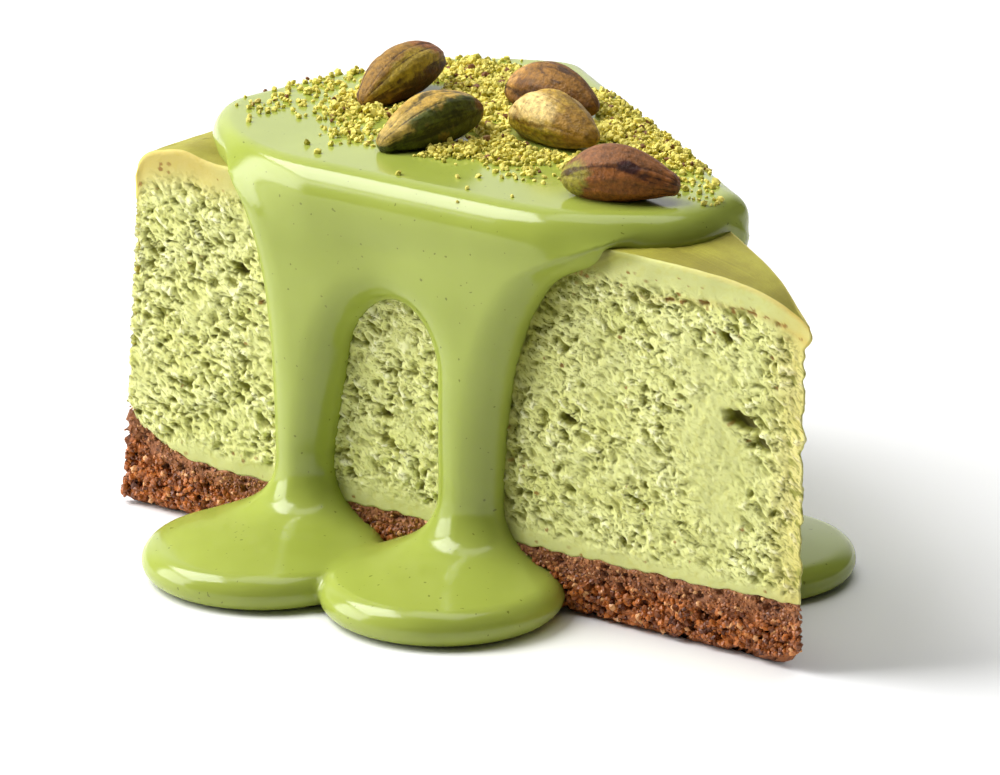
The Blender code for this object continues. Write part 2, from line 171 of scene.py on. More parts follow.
def share_of(bits, place=0):
    """One of several random shares from 0 to 1 in the same bits"""
    return (bits >> 8 * place & 255) / 255.0


def smooth_noise(x, y, z, seed=0):
    """Gradient noise of about -1 to 1, with features one unit wide"""
    floors = [np.floor(value) for value in (x, y, z)]
    cell = [value.astype(np.int64) for value in floors]
    inside = [value - low for value, low in zip((x, y, z), floors)]
    fade = [t * t * t * (t * (t * 6.0 - 15.0) + 10.0) for t in inside]
    total = np.zeros(np.shape(x))
    for corner in np.ndindex(2, 2, 2):
        bits = scramble(*[cell[axis] + corner[axis] for axis in range(3)], seed)
        weight, slope = 1.0, 0.0
        for axis, step in enumerate(corner):
            slope = slope + (share_of(bits, axis) - 0.5) * (inside[axis] - step)
            weight = weight * (fade[axis] if step else 1.0 - fade[axis])
        total += weight * slope
    return 2.6 * total


def layered_noise(x, y, z, octaves, seed=0):
    total = np.zeros(np.shape(x))
    for octave in range(octaves):
        scale = 2.03 ** octave
        total += smooth_noise(x * scale, y * scale, z * scale, seed + octave) / scale
    return total


def cells(a, b, seed):
    """Distances to the two nearest of scattered points, and the nearest one's bits"""
    ia = np.floor(a).astype(np.int64)
    ib = np.floor(b).astype(np.int64)
    nearest = np.full(np.shape(a), 9.0)
    second = np.full(np.shape(a), 9.0)
    owner = np.zeros(np.shape(a), np.int64)
    for da in (-1, 0, 1):
        for db in (-1, 0, 1):
            bits = scramble(ia + da, ib + db, ia * 0, seed)
            away = np.hypot(ia + da + 0.1 + 0.8 * share_of(bits) - a,
                            ib + db + 0.1 + 0.8 * share_of(bits, 1) - b)
            closer = away < nearest
            second = np.where(closer, nearest, np.minimum(second, away))
            owner = np.where(closer, bits, owner)
            nearest = np.minimum(nearest, away)
    return nearest, second, owner


def ramp(value, start, end):
    share = np.clip((value - start) / (end - start), 0.0, 1.0)
    return share * share * (3.0 - 2.0 * share)


# Measures of the slice

def polar(x, y):
    """Distance from the tip and angle from the slice's middle line"""
    return np.hypot(TIP_X - x, y), np.arctan2(y, TIP_X - x)


def face_coordinates(x, y, side):
    """Distance from the tip along a cut face, and distance out of it"""
    along = (TIP_X - x) * math.cos(HALF_ANGLE) + side * y * math.sin(HALF_ANGLE)
    out = (x - TIP_X) * math.sin(HALF_ANGLE) + side * y * math.cos(HALF_ANGLE)
    return along, out


def face_point(side, along, out):
    """Plan point at a distance along a cut face and out of it"""
    x = TIP_X - along * math.cos(HALF_ANGLE) + out * math.sin(HALF_ANGLE)
    y = side * (along * math.sin(HALF_ANGLE) + out * math.cos(HALF_ANGLE))
    return x, y


def rim_radius(z):
    return RADIUS - RIM_LEAN * (np.maximum(z, 0.0) / HEIGHT) ** RIM_LEAN_POWER


def top_height(x, y):
    """Height of the cake's top: it falls to the tip and over the rim's shoulder"""
    distance = polar(x, y)[0]
    fall = TIP_FALL * np.exp(-distance / TIP_FALL_REACH)
    rise = RIM_RISE * np.exp(-((distance - RIM_RISE_AT) / RIM_RISE_WIDTH) ** 2)
    inside = np.clip(rim_radius(HEIGHT) - distance, 0.0, RIM_SHOULDER)
    shoulder = RIM_SHOULDER - np.sqrt(RIM_SHOULDER ** 2 - (RIM_SHOULDER - inside) ** 2)
    return HEIGHT - fall + rise - shoulder


def crust_top(x, y):
    distance = polar(x, y)[0]
    climb = np.clip((distance - RADIUS) / CRUST_RIM_REACH + 1.0, 0.0, 1.0)
    return CRUST_HEIGHT + CRUST_TIP_RISE * np.exp(-distance / 20.0) + CRUST_RIM_RISE * climb ** 2


def crust_bottom(x, y):
    edge = np.maximum(face_coordinates(x, y, FRONT)[1], face_coordinates(x, y, BACK)[1])
    distance = polar(x, y)[0]
    edge = np.maximum(edge, distance - RADIUS)
    worn = np.maximum(1.0 + edge / EDGE_REACH, 0.0)
    return worn * (CRUST_EDGE_LIFT + CRUST_TIP_LIFT * np.exp(-distance / CRUST_TIP_LIFT_REACH))


# Meshes

def add_mesh(name, points, faces, smooth=True):
    """Make an object from points in millimetres, riding on the slice's body"""
    mesh = bpy.data.meshes.new(name)
    corners = faces if isinstance(faces, list) else faces.tolist()
    mesh.from_pydata(((np.asarray(points) + ORIGIN) * MM).tolist(), [], corners)
    mesh.validate()
    if smooth:
        mesh.shade_smooth()
    piece = bpy.data.objects.new(name, mesh)
    bpy.context.collection.objects.link(piece)
    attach(piece, BODY)
    return piece


def add_values(piece, name, values):
    """Keep one number a point, which the material reads"""
    layer = piece.data.attributes.new(name, "FLOAT", "POINT")
    layer.data.foreach_set("value", np.asarray(values, dtype=np.float32))


# Stations round the slice

def way_round(side, share):
    """Distance round the slice from its tip"""
    arc = RADIUS * 2.0 * HALF_ANGLE
    past = np.where(side == RIM, RADIUS + arc * share, 2.0 * RADIUS + arc - RADIUS * share)
    return np.where(side == FRONT, RADIUS * share, past)


def stations(front_step, rim_step, back_step):
    """Side, share along it, and distance round the slice from the tip"""
    front = max(2, int(RADIUS / front_step))
    rim = max(2, int(RADIUS * 2.0 * HALF_ANGLE / rim_step))
    back = max(2, int(RADIUS / back_step))
    side = np.concatenate((np.full(front + 1, FRONT), np.full(rim - 1, RIM), np.full(back + 1, BACK)))
    share = np.concatenate((
        np.arange(front + 1) / front, np.arange(1, rim) / rim, np.arange(back, -1, -1) / back))
    return side, share, way_round(side, share)


def station_points(side, share, z):
    """Plan points of the stations at their heights, and the way out of the slice"""
    radius = rim_radius(z)
    angle = HALF_ANGLE * (2.0 * share - 1.0)
    along = TIP_BLUNT + (radius - TIP_BLUNT) * share
    face_x = TIP_X - along * math.cos(HALF_ANGLE)
    face_y = side * along * math.sin(HALF_ANGLE)
    rim = side == RIM
    x = np.where(rim, TIP_X - radius * np.cos(angle), face_x)
    y = np.where(rim, radius * np.sin(angle), face_y)
    out_x = np.where(rim, -np.cos(angle), math.sin(HALF_ANGLE))
    out_y = np.where(rim, np.sin(angle), side * math.cos(HALF_ANGLE))
    return x, y, out_x, out_y


def depth_limit(side, share):
    """How deep a wall may be torn, so that the two faces don't meet near the tip"""
    return np.where(side == RIM, RADIUS, 0.15 + 0.22 * RADIUS * share)


def slice_mesh(bottom, top, step, relief, reach_out, skin, insets):
    """Points, faces and values of a layer of the slice with torn walls"""
    side, share, way = stations(step, RIM_STEPS * step, BACK_STEPS * step)
    count = len(side)
    reach = RADIUS / (1.0 + 1.0 / math.sin(HALF_ANGLE))
    centre_x = TIP_X - RADIUS + reach
    rows = int((HEIGHT if top is top_height else CRUST_HEIGHT + CRUST_RIM_RISE) / step)

    def wall(level):
        """A ring round the walls at a share of the layer's height"""
        x, y = station_points(side, share, np.full(count, HEIGHT * level))[:2]
        foot = bottom(x, y)
        z = foot + (top(x, y) - foot) * level
        x, y, out_x, out_y = station_points(side, share, z)
        depth, extra = relief(side, way, x, y, z)
        depth = np.minimum(depth, depth_limit(side, share))
        along = np.where(side == RIM, RADIUS, RADIUS * share)
        ragged = np.exp(-along / RAGGED_REACH) * reach_out(top(x, y) - z, z)
        return x - depth * out_x + ragged, y - depth * out_y, z, extra

    def inset(level, distance):
        """A ring on the underside or the top, a distance in from the walls"""
        x, y, z, extra = wall(level)
        scale = 1.0 - distance / reach
        x = centre_x + (x - centre_x) * scale
        y = y * scale
        height = (bottom if level == 0.0 else top)(x, y)
        fade = min(distance / insets[0], 1.0)
        raised, values = skin(x, y)
        faded = max(1.0 - distance / insets[1], 0.0)
        keep = {name: extra[name] * (1.0 if name.startswith("tear") else faded) for name in extra}
        keep["skin"] = values if level else values * 0.0
        return x, y, z + (height + (raised if level else 0.0) - z) * fade, keep

    rings = [inset(0.0, distance) for distance in reversed(insets)]
    rings += [wall(row / rows) for row in range(rows + 1)]
    rings += [inset(1.0, distance) for distance in insets]
    points = [np.stack(ring[:3], axis=1) for ring in rings]
    middle = np.array(centre_x), np.array(0.0)
    points.append(np.array([[centre_x, 0.0, float(bottom(*middle))],
                            [centre_x, 0.0, float(top(*middle))]]))
    merged = {}
    for name in rings[len(insets)][3]:
        merged[name] = np.concatenate([ring[3][name] for ring in rings] + [np.zeros(2)])
    return np.concatenate(points), closed_faces(len(rings), count), merged


def ring_quads(rings, count):
    """Quads between closed rings of points"""
    base = np.arange(rings - 1)[:, None] * count
    index = np.arange(count)[None, :]
    after = (index + 1) % count
    quads = (base + index, base + after, base + count + after, base + count + index)
    return np.stack(quads, axis=-1).reshape(-1, 4)


def closed_faces(rings, count):
    """Quads between the rings, and fans that close the first and the last ring"""
    faces = ring_quads(rings, count).tolist()
    last, foot = (rings - 1) * count, rings * count
    for index in range(count):
        after = (index + 1) % count
        faces.append((after, index, foot))
        faces.append((last + index, last + after, foot + 1))
    return faces


# Surfaces of the filling and the crust

TEAR_TURN = math.radians(21.0)
RAGGED_REACH = 3.5

# On the front face: a smoother patch, by distance from the tip, level and both reaches
SMOOTH_PATCH = (14.5, 28.0, 5.5, 11.0)

# Larger holes: distance round the slice from the tip, level, width, height and depth
HOLES = ((10.1, 32.5, 2.6, 1.1, 2.4), (6.9, 30.1, 1.5, 0.8, 1.8), (13.0, 43.7, 0.9, 0.8, 1.4),
         (38.8, 27.4, 1.8, 0.7, 1.6), (96.0, 38.0, 1.2, 0.8, 1.6), (70.0, 22.0, 1.3, 0.6, 1.4),
         (29.0, 12.4, 0.5, 0.5, 1.2))

# Levels on the front face, and how far from the tip the curtain's edge is at each
CURTAIN_EDGE = ((18.0, 28.0, 35.0, 40.0, 47.0, 52.0), (52.1, 50.8, 48.7, 46.0, 41.9, 31.6))


def tear_coordinates(way, z, flat):
    """Places along and across the tears, and the two bends that they follow"""
    a = way * math.cos(TEAR_TURN) + z * math.sin(TEAR_TURN)
    b = z * math.cos(TEAR_TURN) - way * math.sin(TEAR_TURN)
    bend = smooth_noise(a / 3.2, b / 3.2, flat, 11)
    twist = smooth_noise(a / 1.1, b / 1.1, flat, 10)
    a = a + 0.9 * bend + 0.35 * twist
    b = b + 0.8 * smooth_noise(a / 3.5, b / 3.5, flat + 9.0, 12) + 0.3 * twist
    return a, b, bend, twist


def filling_roughness(side, way, x, y, z, bend):
    """How torn the crumb is: smooth below the top, above the crust and in a patch"""
    rough = ramp(top_height(x, y) - z, 2.4, 5.6) * ramp(z, 9.0, 12.5)
    patch = np.hypot((way - SMOOTH_PATCH[0]) / SMOOTH_PATCH[2], (z - SMOOTH_PATCH[1]) / SMOOTH_PATCH[3])
    rough = rough * (0.30 + 0.70 * ramp(patch + 0.45 * bend, 0.5, 1.6))
    rough = rough * (0.55 + 0.45 * ramp(smooth_noise(x / 6.0, y / 6.0, z / 6.0, 13), -0.5, 0.25))
    return np.where(side == RIM, 0.45 * rough + 0.1, rough)


def torn_crumb(a, b, flat):
    """Depth of hollows, dents, tears and ridges, how much painted shade their hollows get, and the ridges,
    which get a painted highlight
    """
    coarse = layered_noise(a / 2.2, b / 1.15, flat, 2, 15)
    fine = layered_noise(a / 0.85, b / 0.62, flat + 3.0, 2, 18)
    hollow = ramp(-coarse, 0.15, 0.44)
    dent = ramp(-fine, 0.18, 0.46)
    raised = ramp(coarse + 0.7 * fine, 0.10, 0.70)
    line = np.abs(smooth_noise(a / 5.0, b / 1.3, flat + 6.0, 19))
    tear = ramp(line, 0.07, 0.015) * ramp(smooth_noise(a / 5.0, b / 2.2, flat, 20), -0.05, 0.2)
    depth = 0.62 * hollow + 0.36 * dent - 0.38 * raised + 0.70 * tear
    return depth, np.maximum(np.maximum(0.85 * hollow, 0.70 * dent), tear), raised


def curtain_shade(side, way, z, bend):
    """Painted shadow that the curtain of glaze casts on the crumb beside it: how dark the crumb is painted
    there
    """
    away = np.interp(z, *CURTAIN_EDGE) - way
    shade = (0.85 + 0.25 * bend) * ramp(away, 9.0, 0.5) + 0.5 * ramp(away, 2.2, 0.0)
    return shade * (side == FRONT) * (way < ARCH_RIGHT)


def filling_marks(side, way, x, y, z, bend):
    """Baked specks, golden parts, and the crack under the edge of the top"""
    below = top_height(x, y) - z
    front, rim = side == FRONT, side == RIM
    specks, _, bits = cells(way / 1.25, z / 0.95, 31)
    line = (below - 2.5 - 0.115 * way - 0.4 * bend) / 0.5
    line = np.exp(-line ** 2) * ramp(way, 34.0, 24.0) * front
    crack = line ** 4 * ramp(smooth_noise(way / 2.6, x * 0.0, x * 0.0, 38), 0.0, 0.2)
    chance = 0.020 + 0.80 * line + 0.08 * ramp(z, 14.0, 9.5) + 0.12 * rim
    chance = chance + 0.13 * ramp(below, 6.0, 4.0) * ramp(below, 1.0, 3.0)
    by_curtain = ramp(way, 26.0, 36.0) * ramp(way, 52.0, 44.0) * ramp(below, 12.0, 6.0) * front
    chance = chance + 0.30 * by_curtain
    size = 0.22 + 0.30 * share_of(bits, 1)
    speck = ramp(specks, size, 0.4 * size) * (share_of(bits, 2) < chance)
    speck = np.maximum(speck * (0.25 + 0.75 * share_of(bits, 3)), 0.9 * crack)
    golden = np.where(rim, 0.5, 0.0) + ramp(way, 8.0, 0.0) * 0.40 * ~rim
    golden = golden + 0.45 * ramp(below, 1.0, 0.0) * ramp(way, 30.0, 8.0)
    golden = golden + 0.25 * line + 0.65 * ramp(way, 90.0, 106.0) * ramp(below, 7.5, 1.0) * ~rim
    golden = golden + 0.40 * ramp(smooth_noise(x / 3.0, y / 3.0, z / 3.0, 32), 0.1, 0.7) * rim
    return speck, golden, crack


def filling_relief(side, way, x, y, z):
    """Depth of the torn crumb, its painted shade in hollows and holes and beside the curtain, its painted
    highlight on ridges, and how specked and golden it is
    """
    flat = x * 0.0
    below = top_height(x, y) - z
    a, b, bend, twist = tear_coordinates(way, z, flat)
    rough = filling_roughness(side, way, x, y, z, bend)
    torn, dark, raised = torn_crumb(a, b, flat)
    depth = 0.45 + 0.34 * layered_noise(x / 8.0, y / 8.0, z / 8.0, 2, 14) + rough * torn
    # Painted shade in the hollows, dents and tears, and the curtain's painted shadow beside it
    pit = np.maximum(rough * dark, curtain_shade(side, way, z, bend))

    nearest, _, bits = cells(a / 3.4, b / 2.4, 21)
    radius = 0.08 + 0.17 * share_of(bits, 2)
    hole = ramp(nearest + 0.12 * twist, radius, 0.3 * radius) * (share_of(bits, 3) < 0.34) * rough
    depth = depth + hole
    # The small holes get painted shade as well
    pit = np.maximum(pit, 1.3 * hole)
    for along, level, wide, tall, deep in HOLES:
        spot = np.hypot((way - along) / wide, (z - level - 0.25 * (way - along)) / tall)
        spot = ramp(spot + 0.35 * bend + 0.40 * twist, 1.25, 0.55) * (side != RIM)
        depth = depth + deep * spot
        # The larger holes get painted shade as well
        pit = np.maximum(pit, 1.8 * spot)

    speck, golden, crack = filling_marks(side, way, x, y, z, bend)
    depth = depth * (0.40 + 0.60 * ramp(below, 0.0, 2.2)) + 0.25 * ramp(below, 0.5, 0.0)
    # A painted highlight on the raised, torn crumb goes out as its pale value
    return depth + 0.45 * crack, {
        "pit": pit, "speck": speck, "golden": golden, "pale": rough * raised,
        "rough": rough, "tear_a": a, "tear_b": b, "skin": flat}


def filling_tip(below, z):
    """How far the slice's tip reaches out: a lip at its top, and ragged below"""
    return 1.5 * np.exp(-((below - 1.1) / 1.6) ** 2) + 1.0 * layered_noise(z / 2.6, z * 0.0, z * 0.0, 2, 33)


def crust_tip(below, z):
    """How far the crust's tip reaches out"""
    return 0.5 * layered_noise(z / 1.7, z * 0.0, z * 0.0, 2, 34) - 0.3


def filling_skin(x, y):
    """Relief of the cake's own top, and how much of its skin shows"""
    return 0.10 * layered_noise(x / 2.5, y / 2.5, x * 0.0, 2, 35), x * 0.0 + 1.0


def layer_seam(x, y):
    return crust_top(x, y) + 0.55 * smooth_noise(x / 2.2, y / 2.2, x * 0.0, 37)


def filling_foot(x, y):
    return layer_seam(x, y) - 0.35


def crust_head(x, y):
    return layer_seam(x, y) + 0.25


def crust_relief(side, way, x, y, z):
    """Depth of the biscuit's crumb, the random tone of its grains, and painted shade in its hollows and the
    gaps between grains
    """
    below = layer_seam(x, y) - z
    lower = ramp(below + 1.3 * smooth_noise(way / 2.4, z / 2.4, z * 0.0, 45), 1.6, 4.6)
    bend = 0.35 * smooth_noise(x / 2.0, y / 2.0, z / 2.0, 41)
    coarse, other, bits = cells((way + bend) / 1.55, (z + bend) / 1.25, 42)
    fine, _, fine_bits = cells(way / 0.8, z / 0.7, 43)
    grain = 0.75 * coarse ** 2 * (0.5 + 1.1 * share_of(bits, 2))
    cavity = ramp(coarse, 0.52, 0.22) * (share_of(bits, 3) < 0.28) * (0.6 + 0.4 * lower)
    depth = 0.35 + (0.35 + 0.65 * lower) * grain + 0.30 * fine ** 2
    depth = depth + 0.35 * layered_noise(x / 6.0, y / 6.0, z / 6.0, 2, 44) + 1.35 * cavity
    depth = depth + 0.8 * ramp(z, 2.2, 0.0) + 0.7 * ramp(below, 0.45, 0.05)
    shade = 0.6 * share_of(bits, 2) + 0.4 * share_of(fine_bits, 2)
    # Painted shade in the hollows and in the gaps between grains
    hollow = np.maximum(cavity, 0.55 * ramp(other - coarse, 0.14, 0.0))
    return depth, {"shade": shade, "cavity": hollow, "lower": lower, "skin": x * 0.0}


def crust_skin(x, y):
    """The crust's top is flat under the filling"""
    return x * 0.0, x * 0.0 + 1.0


# The glaze, as a field that is negative inside it

def smooth_least(a, b, width):
    share = np.clip(0.5 + 0.5 * (b - a) / width, 0.0, 1.0)
    return b + (a - b) * share - width * share * (1.0 - share)


def smooth_most(a, b, width):
    return -smooth_least(-a, -b, width)


def poured(edge, height, thickness, roundness=1.0):
    """A sheet of glaze with a round edge, from its outline and the height over it"""
    run = roundness * thickness
    return np.hypot(np.maximum(edge + run, 0.0) / roundness, height) - thickness


def top_sheet(x, y, z):
    """The glaze on the cake's top, with a bowed edge towards the tip"""
    distance, angle = polar(x, y)
    turn = (angle - SHEET_TIP_EDGE_LEAN) / (HALF_ANGLE + SHEET_TIP_EDGE_LEAN)
    near = SHEET_TIP_EDGE + SHEET_TIP_EDGE_BOW * turn ** 2
    corner = (np.abs(angle) - SHEET_CORNER_START) / (HALF_ANGLE - SHEET_CORNER_START)
    depth = np.where(angle < 0.0, SHEET_FRONT_CORNER, SHEET_BACK_CORNER)
    far = SHEET_RIM_EDGE - depth * np.clip(corner, 0.0, 1.5) ** SHEET_CORNER_POWER
    edge = smooth_most(near - distance, distance - far, SHEET_ENDS_BLEND)
    along, out = face_coordinates(x, y, FRONT)
    edge = smooth_most(edge, out - SHEET * ramp(along, *LIP_FADE), SHEET_FRONT_BLEND)
    edge = smooth_most(edge, face_coordinates(x, y, BACK)[1] - SHEET, SHEET_BACK_BLEND)
    return poured(edge, z - HEIGHT, SHEET)


def front_curtain(x, y, z):
    """The glaze on the front face: a curtain that narrows to two streams round an arch"""
    along, out = face_coordinates(x, y, FRONT)
    drop = np.maximum(HEIGHT - z, -2.0)
    left = LEFT_EDGE + LEFT_FLARE * np.exp(-drop / LEFT_FLARE_REACH)
    right = RIGHT_EDGE - RIGHT_FLARE * np.exp(-drop / RIGHT_FLARE_REACH)
    arch_left = ARCH_LEFT - ARCH_LEFT_LEAN * np.maximum(z - ARCH_FOOT, 0.0)
    half_width = np.maximum(0.5 * (arch_left - ARCH_RIGHT), ARCH_LEAST)
    over = np.maximum(z - ARCH_SPRING, 0.0) / ARCH_RISE
    arch = (np.hypot((along - ARCH_RIGHT) / half_width - 1.0, over) - 1.0) * half_width
    edge = smooth_most(along - left, right - along, STREAM_EDGE_BLEND)
    edge = smooth_most(edge, -arch, ARCH_BLEND)
    edge = np.maximum(edge, z - HEIGHT)
    valley = np.hypot((along - VALLEY_CENTRE[0]) / VALLEY_SIZE[0], (z - VALLEY_CENTRE[1]) / VALLEY_SIZE[1])
    return poured(edge, out, SHEET - VALLEY_DEPTH * np.exp(-valley ** 2), STREAM_ROUNDNESS)


def back_curtain(x, y, z):
    """The glaze on the back face: a band with one stream and two drips"""
    along, out = face_coordinates(x, y, BACK)
    start, end = BACK_BAND_ENDS
    edge = smooth_most(start - along, along - end, BACK_ENDS_BLEND)
    edge = smooth_most(edge, BACK_BAND - z, BACK_BAND_BLEND)
    for centre, half_width, bottom in BACK_DRIPS:
        below = np.maximum(bottom + half_width - z, 0.0)
        edge = smooth_least(edge, np.hypot(along - centre, below) - half_width, DRIP_BLEND)
    edge = np.maximum(edge, z - HEIGHT)
    return poured(edge, out, BACK_SHEET)


def pool(x, y, z, side, along, out, radius, height):
    """A pool that bulges at its rim and is a little higher in the middle"""
    centre_x, centre_y = face_point(side, along, out)
    distance = np.hypot(x - centre_x, y - centre_y)
    share = np.clip(distance / radius, 0.0, 1.0)
    half = 0.5 * (height + (POOL_RIM - height) * share ** 2)
    return np.hypot(np.maximum(distance - radius + half, 0.0), z - half) - half


def poured_field(x, y, z):
    """All that was poured, also what lies inside the cake"""
    field = smooth_least(top_sheet(x, y, z), front_curtain(x, y, z), RIDGE_BLEND)
    field = smooth_least(field, back_curtain(x, y, z), BACK_BLEND)
    pools = pool(x, y, z, *POOLS[0])
    for values in POOLS[1:]:
        pools = smooth_least(pools, pool(x, y, z, *values), POOLS_BLEND)
    return smooth_least(field, pools, POOL_BLEND)


def glaze_field(x, y, z):
    """The poured glaze without what would lie deep in the cake or below the floor"""
    outside = np.maximum(face_coordinates(x, y, FRONT)[1], face_coordinates(x, y, BACK)[1])
    outside = np.maximum(outside, polar(x, y)[0] - rim_radius(np.minimum(z, HEIGHT)))
    outside = np.maximum(outside, z - HEIGHT)
    field = np.maximum(poured_field(x, y, z), -outside - GLAZE_SINK)
    return np.maximum(field, -z)


def surface_net(field, low, high, cell):
    """Points and quads of the surface where a field is zero, one point a cell"""
    axes = [np.arange(low[axis], high[axis] + cell, cell) for axis in range(3)]
    counts = [len(axis) for axis in axes]
    value = np.empty(counts, np.float32)
    for start in range(0, counts[0], 12):
        part = np.meshgrid(axes[0][start:start + 12], axes[1], axes[2], indexing="ij")
        value[start:start + 12] = field(*part)
    inside = value < 0.0
    shape = [count - 1 for count in counts]
    total = np.zeros((3, shape[0] * shape[1] * shape[2]))
    hits = np.zeros(total.shape[1])
    edges = []
    for axis in range(3):
        # Lattice edges along this axis that cross the surface, and the four cells round each
        start = [slice(None)] * 3
        end = [slice(None)] * 3
        start[axis] = slice(0, -1)
        end[axis] = slice(1, None)
        index = np.argwhere(inside[tuple(start)] != inside[tuple(end)])
        others = [other for other in range(3) if other != axis]
        for other in others:
            index = index[(index[:, other] > 0) & (index[:, other] < shape[other])]
        ahead = index.copy()
        ahead[:, axis] += 1
        a = value[tuple(index.T)]
        b = value[tuple(ahead.T)]
        spot = np.stack([axes[other][index[:, other]] for other in range(3)])
        spot[axis] += a / (a - b) * cell
        corners = []
        for back_u, back_v in ((1, 1), (0, 1), (0, 0), (1, 0)):
            place = index.copy()
            place[:, others[0]] -= back_u
            place[:, others[1]] -= back_v
            flat = np.ravel_multi_index(tuple(place.T), shape)
            corners.append(flat)
            hits += np.bincount(flat, minlength=len(hits))
            for part in range(3):
                total[part] += np.bincount(flat, weights=spot[part], minlength=len(hits))
        quad = np.stack(corners, axis=1)
        turned = inside[tuple(index.T)] == (axis == 1)
        quad[turned] = quad[turned][:, ::-1]
        edges.append(quad)
    used = np.flatnonzero(hits)
    number = np.full(len(hits), -1)
    number[used] = np.arange(len(used))
    points = (total[:, used] / hits[used]).T
    return points, number[np.concatenate(edges)]


def settle(points, field, steps=3, reach=0.3):
    """Move points onto the surface where the field is zero"""
    small = 0.02
    for _ in range(steps):
        x, y, z = points.T
        here = field(x, y, z)
        slope = np.stack((field(x + small, y, z) - here, field(x, y + small, z) - here,
                          field(x, y, z + small) - here), axis=1) / small
        length = np.maximum((slope ** 2).sum(axis=1), 0.25)
        step = -here[:, None] * slope / length[:, None]
        points = points + np.clip(step, -reach, reach)
    return points


# Materials

def linear(red, green, blue):
    """Linear colour from the 0 to 255 values that a screen shows"""
    shares = [channel / 255.0 for channel in (red, green, blue)]
    return tuple(s / 12.92 if s <= 0.04045 else ((s + 0.055) / 1.055) ** 2.4 for s in shares)


class Paint:
    """A material's nodes, made by name and joined in one line each"""

    def __init__(self, name):
        self.material = bpy.data.materials.new(name)
        self.material.use_nodes = True
        self.tree = self.material.node_tree
        self.shader = self.tree.nodes["Principled BSDF"]
        self.place = self.tree.nodes.new("ShaderNodeTexCoord").outputs["Object"]

    def node(self, kind, **inputs):
        made = self.tree.nodes.new(kind)
        for name, value in inputs.items():
            self.set(made.inputs[name.replace("_", " ")], value)
        return made

    def set(self, socket, value):
        if isinstance(value, bpy.types.NodeSocket):
            self.tree.links.new(value, socket)
        else:
            socket.default_value = value

    def value(self, name):
        made = self.tree.nodes.new("ShaderNodeAttribute")
        made.attribute_name = name
        return made.outputs["Fac"]

    def noise(self, size, detail=2.0, rough=0.5):
        """Noise with features of a size in millimetres"""
        made = self.node("ShaderNodeTexNoise", Vector=self.place, Scale=1000.0 / size, Detail=detail,
                         Roughness=rough)
        return made.outputs["Fac"]

    def span(self, value, low, high, to_low=0.0, to_high=1.0):
        made = self.node("ShaderNodeMapRange", Value=value, From_Min=low, From_Max=high,
                         To_Min=to_low, To_Max=to_high)
        made.interpolation_type = "SMOOTHSTEP"
        return made.outputs["Result"]

    def maths(self, operation, a, b=0.0):
        made = self.tree.nodes.new("ShaderNodeMath")
        made.operation = operation
        self.set(made.inputs[0], a)
        self.set(made.inputs[1], b)
        return made.outputs[0]

    def mix(self, share, a, b):
        """From one colour to another, each a node's or what a screen shows"""
        made = self.tree.nodes.new("ShaderNodeMix")
        made.data_type = "RGBA"
        self.set(made.inputs["Factor"], share)
        for socket, colour in ((made.inputs[6], a), (made.inputs[7], b)):
            self.set(socket, colour if isinstance(colour, bpy.types.NodeSocket) else (*linear(*colour), 1.0))
        return made.outputs[2]

    def bump(self, height, distance, strength=1.0, normal=None):
        made = self.node("ShaderNodeBump", Height=height, Distance=distance * MM, Strength=strength)
        if normal is not None:
            self.set(made.inputs["Normal"], normal)
        return made.outputs["Normal"]

    def finish(self, **inputs):
        for name, value in inputs.items():
            self.set(self.shader.inputs[name.replace("_", " ")], value)
        return self.material


def filling_material():
    """Pale torn crumb with painted olive shade in its hollows, holes, fibre crevices and beside the curtain,
    painted highlights on its ridges, golden parts and a yellow-brown top
    """
    paint = Paint("filling")
    fibre = paint.node("ShaderNodeCombineXYZ", X=paint.maths("DIVIDE", paint.value("tear_a"), 0.62),
                       Y=paint.maths("DIVIDE", paint.value("tear_b"), 0.36)).outputs[0]
    crevice = paint.node("ShaderNodeTexNoise", Vector=fibre, Scale=1.0, Detail=3.0, Roughness=0.6)
    crevice = paint.span(crevice.outputs["Fac"], 0.47, 0.34)
    crevice = paint.maths("MULTIPLY", crevice, paint.value("rough"))
    colour = paint.mix(paint.span(paint.noise(5.0, 3.0), 0.35, 0.68), (236, 238, 160), (227, 229, 142))
    colour = paint.mix(paint.value("rough"), (203, 206, 130), colour)
    colour = paint.mix(paint.span(paint.noise(1.0, 2.0), 0.48, 0.72, 0.0, 0.45), colour, (200, 198, 104))
    # Painted highlight on the raised, torn crumb
    colour = paint.mix(paint.span(paint.value("pale"), 0.15, 0.9, 0.0, 0.9), colour, (248, 248, 196))
    colour = paint.mix(paint.maths("MINIMUM", paint.value("golden"), 1.0), colour, (200, 168, 66))
    # Painted shade in the fibre crevices
    colour = paint.mix(paint.maths("MULTIPLY", crevice, 0.5), colour, (158, 156, 58))
    # Painted olive shade in hollows, holes and beside the curtain
    colour = paint.mix(paint.span(paint.value("pit"), 0.05, 0.9, 0.0, 0.92), colour, (138, 138, 36))
    # Darker painted shade in the holes and right at the curtain's edge
    colour = paint.mix(paint.span(paint.value("pit"), 1.1, 1.6, 0.0, 0.8), colour, (96, 88, 26))
    colour = paint.mix(paint.span(paint.value("speck"), 0.1, 0.8, 0.0, 0.9), colour, (146, 104, 26))
    skin = paint.mix(paint.span(paint.noise(7.0, 3.0), 0.35, 0.65), (154, 148, 42), (134, 126, 28))
    colour = paint.mix(paint.value("skin"), colour, skin)
    normal = paint.bump(paint.noise(0.5, 4.0, 0.65), 0.12, 0.7)
    normal = paint.bump(paint.maths("SUBTRACT", 1.0, crevice), 0.30, 0.8, normal)
    return paint.finish(Base_Color=colour, Roughness=0.66, Normal=normal, Subsurface_Weight=0.3,
                        Subsurface_Radius=(1.0, 0.95, 0.4), Subsurface_Scale=0.8 * MM)


